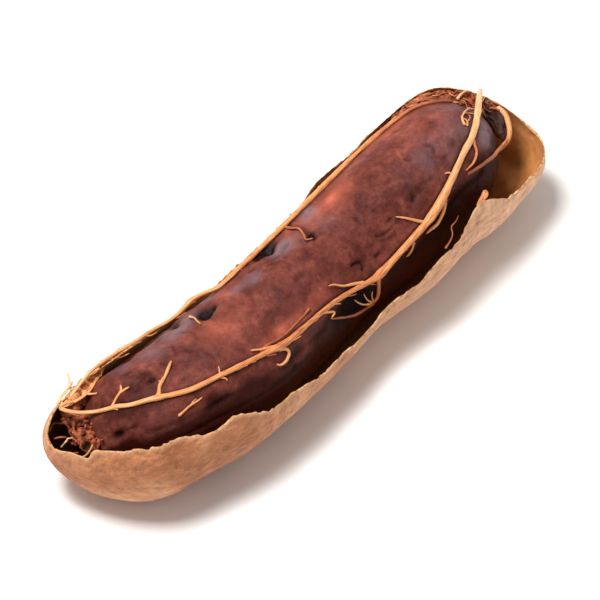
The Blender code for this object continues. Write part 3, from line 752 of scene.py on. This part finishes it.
# side twigs: the way as x and angle on the pulp or as free x, y, z, the radius at root and tip, a
# seed, and where it isn't the usual one the tone, the lift off the pulp and the number of sides
NEAR_TWIGS = (
    (((-39.8, 16), (-38.9, 12), (-37.7, 6), (-35.5, 1), (-32.8, -8)), 0.38, 0.28, 2),
    (((-37.9, 7), (-37.3, 4), (-37.5, 2)), 0.2, 0.14, 3),
    (((-45.6, -8), (-45.4, -11), (-44.3, -14), (-42.9, -16), (-42.1, -22)), 0.3, 0.22, 4),
    (((-43.4, -15), (-42.4, -13), (-41.6, -12)), 0.22, 0.16, 5),
    (((-15, 43), (-16.8, 38), (-18.6, 34), (-20.4, 29)), 0.4, 0.2, 6),
    (((-28, 30), (-27.5, 26), (-27.2, 22)), 0.22, 0.12, 7),
    (((-28.2, 31), (-27.4, 35), (-27.4, 38)), 0.22, 0.14, 8),
    (((-15.4, 44), (-14, 49), (-13.8, 54), (-15, 57), (-16.6, 56), (-17.2, 53)), 0.36, 0.24, 9),
    (((7.6, 60), (5.6, 54), (3.4, 48.5), (1.6, 41), (0.4, 38)), 0.34, 0.15, 10),
    (((-3.6, 50), (-2, 55), (-1, 59), (-2.2, 61)), 0.32, 0.22, 17),
    (((24.4, 57), (23, 50), (21.5, 43), (19.4, 34)), 0.34, 0.15, 11),
    (((11, 64), (10.7, 70), (10.4, 77), (9.8, 85), (8.6, 88)), 0.46, 0.34, 12, 0.4),
    (((8.8, 87), (6, 84), (3.2, 79), (0.6, 71), (-1.4, 64), (-2.4, 60)), 0.34, 0.18, 16, 0.15),
    (((8.2, 85), (7, 76), (6.7, 68)), 0.2, 0.1, 13),
    (((8, 85), (6, 78), (4.9, 71)), 0.2, 0.1, 14),
    (((7.6, 84), (5.6, 76), (4.2, 65)), 0.2, 0.1, 15),
    (((8.6, 86), (8.4, 79), (8.8, 73)), 0.18, 0.1, 38),
    (((41.6, 29), (41.2, 35), (41, 39.5), (40.2, 43.5), (38.6, 46.5), (36.6, 47)),
      0.3, 0.18, 18, 0.45),
    (((42.2, 14), (42.6, 8), (43.4, 3), (45.3, -4), (47.4, -10)), 0.22, 0.14, 19, 0.75),
    (((42.4, 16), (43.4, 10), (43, 4), (44.4, 0), (46, 3), (46.2, 8)), 0.17, 0.11, 39, 0.55),
    (((43.4, 12), (44.6, 8), (45, 2)), 0.16, 0.1, 47, 0.45),
    # the red edge of a fibre that peeled away beside the strand
    (((-5.2, 39.5), (-7, 40.5), (-9, 40.2), (-11.5, 40.2), (-13.8, 38.6), (-17.3, 34.8),
      (-19, 35.5)), 0.2, 0.32, 44, 0.22, 0),
    # a stub that tore off along the near edge, and a curl beside it
    (((35, -8.7, 18.5), (36, -8.3, 19), (37.2, -7.9, 19.6), (38, -7.4, 19.9)),
      0.4, 0.66, 45, 0.5, 0.25, 14),
    (((35.8, -8.7, 18.8), (37, -8.4, 19.5), (38, -8.1, 20)), 0.34, 0.28, 48, 0.62),
    (((24.6, -11.6, 17.8), (26.6, -10.8, 17.8), (28, -9.8, 17.8), (28.4, -9, 18.2),
      (29.8, -8.4, 18.2), (31.4, -7.6, 18.4)), 0.15, 0.09, 46, 0.3),
    (((30, 51), (29.2, 58), (26.6, 65), (23.6, 64)), 0.36, 0.3, 20),
    (((34, 42), (33.4, 37), (32.6, 35)), 0.24, 0.16, 21),
    (((20.6, 62), (19.4, 68), (18, 70)), 0.26, 0.18, 40),
)
near_fibres = [
    fibre(NEAR_WAY, knotted(NEAR_WAY, NEAR_THICK, (
        (-39.6, 1, 0.3), (-45.3, 0.7, 0.15), (-14.8, 1.2, 0.3), (-10, 0.9, 0.12),
        (11.4, 1.1, 0.22), (26, 1.6, 0.12), (39.5, 1, 0.12), (2.5, 0.6, 0.1))),
        18, 1, np.interp(NEAR_WAY[:, 0], (-52, -46, -38, -10, 10, 25, 36, 50),
                         (0.6, 0.72, 0.56, 0.42, 0.46, 0.56, 0.68, 0.88))),
    *(twig(*row) for row in NEAR_TWIGS),
    *frayed(NEAR_WAY, NEAR_THICK, 38, 50),
]

# Vascular fibre: dried bast, the colour of raw wood. Rusty where the pulp has soaked it, orange
# along its middle and straw where it bleached, with fine streaks along it and a dull gloss.
woody_fibre, add = new_material("dried_vascular_fibre")
tone = add("Attribute", attribute_name="tone").outputs["Fac"]
ridge = add("Attribute", attribute_name="ridge").outputs["Vector"]
line = add("Mapping", {"Vector": ridge, "Scale": (1, 1, 0.25)})
streaks = add("TexNoise", {"Vector": line, "Scale": 2.2, "Detail": 4})
varied = add("MapRange", [streaks, 0.25, 0.75, -0.3, 0.26])
toned = add("Math", [tone, varied], operation="ADD")
bast = add("ValToRGB", [toned], (
    (0, "#71301f"), (0.28, "#a8572f"), (0.52, "#dd8c50"), (0.76, "#efae74"), (1, "#f3cba0")))
bumped = add("Bump", {"Height": streaks, "Strength": 0.45, "Distance": 0.0003})
shader = add("BsdfPrincipled", {
    "Base Color": bast, "Roughness": 0.42, "Specular IOR Level": 0.5, "Normal": bumped})
add("OutputMaterial", [shader])

near_strand = make_piece("near_strand_fibre", (woody_fibre,), near_fibres)
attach(near_strand, "root")
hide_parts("near_strand")

# ------------------------ far strand
# The second woody fibre, along the pulp's far side. Towards the tip it frays into a net of thin
# yellowish veins that still holds to the husk's edge.
# how deep a hole sinks, and how far its tone drops there as painted shade
HOLE_DEPTH, HOLE_SHADE = 2.2, 0.9
MASS_CLOSING = 1.5                              # a mass narrows this near to each of its ends


def matted(way, half_width, half_height, seed, sides, grain=1.7, holes=(), tone=0.0):
    """A closed mass of matted threads along a way: an oval section of two half sizes, roughened
    by noise drawn out along the way. Each hole is x, y and radius, where the top sinks in and its
    tone drops as painted shade."""
    side, up = side_and_up(way)
    run = run_along(way)
    turn = np.linspace(0, 2 * math.pi, sides, endpoint=False)[None]
    space = tube_space(run, turn, 3.0)
    rough = 1 + 0.30 * mottle(space, grain, seed) + 0.16 * mottle(space, grain / 2.2, seed + 1)
    rough = rough - 0.22 * np.abs(mottle(space * (1, 1, 0.3), grain / 3, seed + 2))
    close = np.sqrt(np.clip(np.minimum(run, run[-1] - run) / MASS_CLOSING, 0, 1))[:, None]
    across, height = (np.reshape(size, (-1, 1)) * close * rough
                      for size in (half_width, half_height))
    points = (way[:, None] + (across * np.cos(turn))[..., None] * side[:, None]
              - (height * np.sin(turn))[..., None] * up[:, None])
    tones = np.reshape(tone, (-1, 1)) + 0 * rough
    for hole_x, hole_y, reach in holes:
        off = np.hypot(points[..., 0] - hole_x, points[..., 1] - hole_y) / reach
        deep = np.exp(-(off**4)) * (np.sin(turn) < 0)
        points[..., 2] -= HOLE_DEPTH * deep
        # painted shade: the sunken hole is darkened
        tones = tones - HOLE_SHADE * deep
    values = {"ridge": space.reshape(-1, 3), "tone": tones.ravel()}
    return points.reshape(-1, 3), grid_quads(len(way), sides), 0, values


NET_WAY = smooth_path((
    (-51.8, 6.2, 17.5), (-50.4, 6.1, 18), (-48.2, 6, 18.5), (-45.6, 6.2, 18.8), (-43.2, 6.9, 18.7),
    (-40.8, 7.5, 18.4), (-38.6, 7.9, 18.2)), 0.15)
FAR_TWIGS = (
    (((-51.6, 6.6, 17.6), (-50.8, 7.2, 18.2), (-48.4, 7.6, 18.9), (-46.6, 8.2, 19.2)),
      0.4, 0.26, 24, 0.8),
    # tissue that dried between the strand and the husk's edge, and a vein at the strand's end
    (((-41.2, 7.3, 19.4), (-39.8, 7.55, 19.1), (-38.4, 7.6, 19.08), (-37, 7.65, 19.1),
      (-35.8, 7.7, 19.1), (-34.4, 7.75, 19.2)), 0.3, 0.3, 49, 0.28),
    (((-51.5, 6.6, 18.1), (-50.6, 6.95, 18.55), (-49.5, 7.25, 18.8), (-48.2, 7.5, 18.95)),
      0.24, 0.2, 29, 0.85),
    (((-38.9, 7.7, 19.8), (-37.6, 7.2, 19.1), (-35.8, 7, 18.7), (-34.6, 6.6, 18.9)),
      0.2, 0.12, 25, 0.6),
    (((-30.4, 8.1, 18.9), (-28.8, 7.4, 18.4), (-27.4, 7.2, 18.6)), 0.18, 0.1, 28, 0.5),
    (((-47.9, 7.4, 18.9), (-47.2, 8.6, 19.6), (-46.4, 10, 20)), 0.3, 0.2, 26, 0.9),
    (((-49.4, 5, 18.4), (-47.6, 4.5, 18.9), (-45.4, 4.7, 19.1), (-43.2, 5.8, 19)), 0.3, 0.22, 27),
    (((-46.6, 4.6, 19), (-45.6, 3.4, 19.4), (-44.2, 2.4, 19.8)), 0.26, 0.14, 33),
    (((3.3, -42), (3.2, -35), (3.4, -28), (4, -20), (3.5, -10), (3, -5), (4.2, -1)),
      0.3, 0.18, 34, 0.3),
    (((-22.8, -44), (-22.9, -34), (-23.4, -26), (-23.7, -20)), 0.22, 0.14, 35),
)
far_fibres = [
    fibre(FAR_WAY, knotted(FAR_WAY, FAR_THICK, (
        (-35, 0.8, 0.3), (-29, 0.7, 0.25), (-19.3, 1.1, 0.35), (-6, 1.2, 0.2), (15, 1.5, 0.12))),
        16, 22, np.interp(FAR_WAY[:, 0], (-50, -40, -18, -10, 10, 28, 40, 46),
                          (0.85, 0.7, 0.65, 0.5, 0.6, 0.5, 0.3, 0.1))),
    matted(NET_WAY, np.interp(NET_WAY[:, 0], (-52, -50, -48, -45, -43, -41, -38.6),
                              (0.5, 1.0, 1.4, 1.4, 1.1, 0.7, 0.4)),
           0.42, 23, 60, 1.5,
           ((-48, 5.9, 0.95), (-45.6, 6.1, 0.65), (-43.8, 6.4, 0.5), (-42, 6.9, 0.55),
            (-50, 6.3, 0.45), (-46.9, 7.1, 0.3)), 0.62),
    *(twig(*row) for row in FAR_TWIGS),
    *frayed(FAR_WAY, FAR_THICK, 26, 150),
]
far_strand = make_piece("far_strand_fibre", (woody_fibre,), far_fibres)
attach(far_strand, "root")
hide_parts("far_strand")

# ------------------------ stalk end strand
# A third, thinner fibre that came off the stalk: it loops free round the end of the pulp and
# dives under the near strand.
LOOP_WAY = route((
    (53.5, 7.4, 17.5), (53.9, 5.7, 17), (53.4, 4, 16.5), (52.2, 2.2, 16), (50.7, 1, 16),
    (49, 0.3, 16.5), (45.9, 64.5), (42.6, 57), (39.5, 53), (36.6, 50)), lift=0.34)
loop_run = np.linspace(0, 1, len(LOOP_WAY))
loop_fibres = [
    fibre(LOOP_WAY, 0.54 - 0.26 * loop_run + 0.08 * np.exp(-(((loop_run - 0.3) / 0.12) ** 2)),
          12, 41, 0.70 - 0.62 * loop_run),
    twig(((50.8, 1.2, 16.0), (49.6, 0.2, 16.9), (48.4, -0.4, 17.2), (47.0, 70)), 0.24, 0.14, 42,
         tone=0.2),
    twig(((53.6, 6.4, 17.2), (52.7, 6.8, 18.2), (51.6, 7.2, 19.0)), 0.26, 0.16, 43, tone=0.4),
]
loop = make_piece("stalk_end_loop", (woody_fibre,), loop_fibres)
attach(loop, "root")
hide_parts("stalk_end_strand")

# ------------------------ loose fibre
# A short piece of fibre that broke off when the pod was opened and stuck to the pulp.
loose = make_piece("loose_fibre_splinter", (woody_fibre,), [
    twig(((-38.7, 39.5), (-37.4, 38.4), (-35.8, 37), (-34.0, 37.2), (-32.8, 36.4)), 0.20, 0.16,
         36, lift=0.20),
    twig(((-35.6, 37), (-34.8, 35.4), (-33.9, 35)), 0.14, 0.10, 37, lift=0.20),
])
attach(loose, "root")
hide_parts("loose_fibre")

# ------------------------ crumbly tissue
# The soft tissue that joined fruit, husk and stalk. It dried to red-brown crumbs, flakes and
# threads, packed at the stalk end and lying loose in the hollow of the tip.
CRUMB_ROWS, CRUMB_COLUMNS, THREAD_LIFT = 7, 9, 0.25


def crumbs(centres, sizes, seed):
    """Many small lumps at once: round balls, squeezed to their three sizes, turned at random and
    made uneven by smooth noise. Centres and sizes are arrays of one row to a lump."""
    draw = np.random.default_rng(seed)
    rows, columns = CRUMB_ROWS, CRUMB_COLUMNS
    theta = np.linspace(0, math.pi, columns)[:, None]
    phi = np.linspace(0, 2 * math.pi, rows, endpoint=False)[None]
    ball = np.stack((-np.cos(theta) + 0 * phi, np.sin(theta) * np.cos(phi),
                     -np.sin(theta) * np.sin(phi)), -1).reshape(-1, 3)
    turns = np.linalg.qr(draw.normal(size=(len(centres), 3, 3)))[0]
    turns[np.linalg.det(turns) < 0] *= -1
    centres, sizes = np.asarray(centres)[:, None], np.asarray(sizes)[:, None]
    shaped = np.einsum("nij,nkj->nki", turns, ball[None] * sizes)
    noise = 0.55 * mottle(centres + shaped + 7.7 * centres, 0.8, seed + 1)
    noise = noise + 0.40 * mottle(centres + shaped * 2.0, 0.6, seed + 2)
    points = centres + shaped * (1 + noise)[..., None]
    # the rings at both poles are one point each
    points = points.reshape(len(centres), columns, rows, 3)
    points[:, 0], points[:, -1] = points[:, 0, :1], points[:, -1, :1]
    one = grid_quads(columns, rows)
    quads = (one[None] + (np.arange(len(centres)) * len(ball))[:, None, None]).reshape(-1, 4)
    blank = np.zeros(points.size // 3)
    return points.reshape(-1, 3), quads, 0, {"ridge": np.zeros((blank.size, 3)), "tone": blank}


def on_mass(way, half_width, half_height, place, turn, lift=0.0):
    """Points at places along a matted mass and angles round it, lift above its oval section."""
    side, up = side_and_up(way)
    return (way[place] + (half_width[place] * np.cos(turn))[:, None] * side[place]
            + (half_height[place] * np.sin(turn) + lift)[:, None] * up[place])


def scatter(way, half_width, half_height, count, seed, smallest, largest):
    """Crumbs strewn over the top of a matted mass, drawn out at random."""
    draw = np.random.default_rng(seed)
    place = draw.integers(3, len(way) - 3, count)
    turn = draw.uniform(0.05, 0.95, count) * math.pi
    size = draw.uniform(smallest, largest, (count, 1)) * draw.uniform(0.35, 1.3, (count, 3))
    return crumbs(on_mass(way, half_width, half_height, place, turn), size, seed + 1)


def strewn_threads(way, half_width, half_height, count, seed, longest):
    """Thin threads lying over a mass: each runs a little way along it and strays across its
    rounded top."""
    draw = np.random.default_rng(seed)
    threads = []
    for number in range(count):
        start = draw.integers(2, len(way) - 8)
        stop = min(len(way) - 2, start + draw.integers(4, int(longest / WAY_STEP)))
        turn = np.cumsum(draw.normal(0, 0.35, 4)) + draw.uniform(0.6, 2.4)
        place = np.linspace(start, stop, 4).astype(int)
        ends = on_mass(way, half_width, half_height, place, turn, THREAD_LIFT)
        size = draw.uniform(0.10, 0.24)
        threads.append(twig(ends, size, size * 0.6, seed + number, sides=6,
                            tone=draw.uniform(0.0, 0.5), kind=1))
    return threads


# a packed mass round the far side of the pulp's stalk end, between it and the husk
END_WAY = smooth_path((
    (36, 16.6, 17.9), (40, 16.4, 19), (43.5, 15.5, 19.6), (46.6, 13.6, 19.5), (49.4, 11.1, 18.5),
    (51.6, 8.4, 17), (52, 5.4, 16), (51.4, 3.2, 15), (50.6, 1.8, 14.8)))
END_SHARE = np.linspace(0, 1, len(END_WAY))
END_WIDE, END_HIGH = (np.interp(END_SHARE, (0, 0.18, 0.4, 0.6, 0.8, 1), sizes) for sizes in (
    (0.45, 0.9, 1.5, 1.9, 1.7, 0.9), (0.5, 0.9, 1.2, 1.5, 1.4, 1.0)))
PACKED = int(0.80 * len(END_WAY))               # the last stretch, behind the loop, is a dark gap
end_parts = [
    # painted shade: the mass's tone falls below 0 towards its end, in the shaded gap behind the
    # loop
    matted(END_WAY, END_WIDE, END_HIGH, 61, 64, 2.0, (), np.interp(
        END_SHARE, (0, 0.35, 0.6, 0.75, 1), (0.15, 0.10, -0.15, -0.55, -0.70))),
    scatter(END_WAY[:PACKED], END_WIDE, END_HIGH, 100, 64, 0.16, 0.50),
    *strewn_threads(END_WAY[:PACKED], END_WIDE, END_HIGH, 26, 90, 5.0),
    twig(((47.2, 11.2, 21.0), (48.6, 11.6, 21.2), (50.2, 11.8, 20.6), (51.2, 11.4, 19.8)),
         0.28, 0.18, 71, tone=0.7, kind=1),
]

# Dried tissue: crumbled membrane soaked with pulp. Rust brown with orange thin edges, rough and
# slightly greasy; near-black where its tone carries painted shade, in holes and behind the loop.
dried_tissue, add = new_material("crumbled_membrane")
place = add("TexCoord").outputs["Object"]
patch = add("TexNoise", {"Vector": place, "Scale": 900, "Detail": 4, "Roughness": 0.65})
# the tone, which drops as painted shade in holes and behind the loop
sunk = add("Attribute", attribute_name="tone").outputs["Fac"]
worn = add("Math", [sunk, 0.4, patch], operation="MULTIPLY_ADD")
rust = add("ValToRGB", [worn], (
    (0.3, "#32120a"), (0.44, "#743219"), (0.57, "#a6522c"), (0.72, "#cd7c4c")))
bumped = add("Bump", {"Height": patch, "Strength": 0.7, "Distance": 0.0004})
shader = add("BsdfPrincipled", {
    "Base Color": rust, "Roughness": 0.62, "Specular IOR Level": 0.35, "Normal": bumped})
add("OutputMaterial", [shader])

stalk_tissue = make_piece("stalk_end_crumbs", (dried_tissue, woody_fibre), end_parts)
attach(stalk_tissue, "root")
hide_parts("stalk_end_tissue")

# heaps of loose crumbs over the pulp's domed tip and down into the hollow: number and seed, the
# middle, reach and limit of the heap, then the crumbs' sizes and stretch
TIP_HEAPS = (
    (16, 62, (-50.2, 1, 14.4), (1.3, 2.4, 0.5), 1.4, (0.3, 0.8), (0.6, 1.3)),
    (60, 66, (-50.4, 1, 14.2), (1.7, 2.6, 0.6), 1.5, (0.12, 0.34), (0.5, 1.3)),
)
TIP_THREADS = (
    (((-54.2, 6, 12.6), (-52.6, 6.6, 13.4), (-51.2, 5.4, 13.2)), 0.28, 0.2, 76, 0.3),
    (((-54.6, 4.4, 12.6), (-53.6, 3.4, 13.4), (-52.6, 2.6, 13.2)), 0.3, 0.2, 77, 0.2),
    (((-54.6, 2.2, 12.2), (-53.8, 1.6, 14.2), (-53, 2.2, 13.6), (-52.6, 1.2, 14.6)),
      0.2, 0.14, 78, 0.9),
    (((-55.4, 0.8, 12.6), (-54.2, -0.8, 13.2), (-53, -1.2, 13)), 0.28, 0.18, 79, 0.3),
    (((-53.6, -2.2, 12.6), (-52.4, -3, 14.2), (-51.2, -2.8, 15.4)), 0.22, 0.14, 80, 0.7),
)
draw = np.random.default_rng(68)
TIP_WAY = smooth_path((
    (-49.6, 6.4, 14.4), (-49.9, 4.2, 14.6), (-50.2, 1.8, 14.3), (-50.7, -0.6, 13.8),
    (-51, -3.2, 13)), 0.2)
NET_BED = smooth_path((
    (-51.6, 5.2, 15.6), (-49, 5.6, 16.6), (-46, 5.9, 17), (-43, 6.7, 16.8), (-40.4, 7.2, 16.4)))
tip_parts = [matted(TIP_WAY, 1.9, 1.5, 67, 60, 1.3, (
    (-50.4, 2, 0.75), (-48.7, -0.8, 0.75), (-51.8, -1.6, 0.7), (-50, 4.6, 0.6),
    (-49.6, 0.6, 0.35), (-50.9, 0.2, 0.4), (-51.6, 3.6, 0.5)))]
for count, seed, middle, reach, limit, sizes, stretch in TIP_HEAPS:
    lumps = np.clip(draw.normal(0, 1, (count, 3)), -limit, limit) * reach + middle
    lumps[:, 2] += 0.5 * (lumps[:, 0] - middle[0])              # the heap leans with the tip
    size = draw.uniform(*sizes, (count, 1)) * draw.uniform(*stretch, (count, 3))
    tip_parts.append(crumbs(lumps, size, seed))
tip_parts += [
    matted(NET_BED, 1.5, 0.8, 81, 40),
    *(twig(*row, kind=1) for row in TIP_THREADS),
]
tip_tissue = make_piece("tip_crumbs", (dried_tissue, woody_fibre), tip_parts)
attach(tip_tissue, "root")
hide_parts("tip_tissue")

# ------------------------ floor, lights and camera
# A white paper sweep under one large soft light, as for a product picture.
HALF_FLOOR = 3.0
corners = [(x * HALF_FLOOR, y * HALF_FLOOR, 0) for x, y in ((-1, -1), (1, -1), (1, 1), (-1, 1))]
floor_mesh = bpy.data.meshes.new("floor")
floor_mesh.from_pydata(corners, [], [(0, 1, 2, 3)])
paper, add = new_material("white_paper")
shader = add("BsdfPrincipled", {
    "Base Color": paint("#f4f2f0"), "Roughness": 0.9, "Specular IOR Level": 0.1})
add("OutputMaterial", [shader])
floor_mesh.materials.append(paper)
floor = bpy.data.objects.new("floor", floor_mesh)

world = bpy.data.worlds.new("studio")
world.use_nodes = True
background = world.node_tree.nodes["Background"]
background.inputs["Color"].default_value = paint("#ffffff")
background.inputs["Strength"].default_value = 0.45

ELEVATION, TURN = math.radians(52.0), math.radians(40.6)
LENS, DISTANCE = 800.0, 2.413
SOFTBOX_PLACE, SOFTBOX_SIZE, SOFTBOX_POWER = Vector((-0.24, 0.22, 1.12)), 0.42, 17.0
centre = Vector((0.0, 0.0, 0.012))
back = Vector((-math.cos(ELEVATION) * math.sin(TURN), -math.cos(ELEVATION) * math.cos(TURN),
               math.sin(ELEVATION)))
softbox = bpy.data.lights.new("key", "AREA")
softbox.size, softbox.energy = SOFTBOX_SIZE, SOFTBOX_POWER
key = bpy.data.objects.new("key", softbox)
camera_data = bpy.data.cameras.new("camera")
camera_data.lens = LENS
camera = bpy.data.objects.new("camera", camera_data)
for thing, spot, facing in ((key, SOFTBOX_PLACE, SOFTBOX_PLACE),
                            (camera, centre + back * DISTANCE, back)):
    thing.location = spot
    thing.rotation_mode = "QUATERNION"
    thing.rotation_quaternion = facing.to_track_quat("Z", "Y")

scene = bpy.context.scene
for thing in (floor, key, camera):
    scene.collection.objects.link(thing)
scene.world = world
scene.camera = camera
scene.view_settings.view_transform = "Standard"
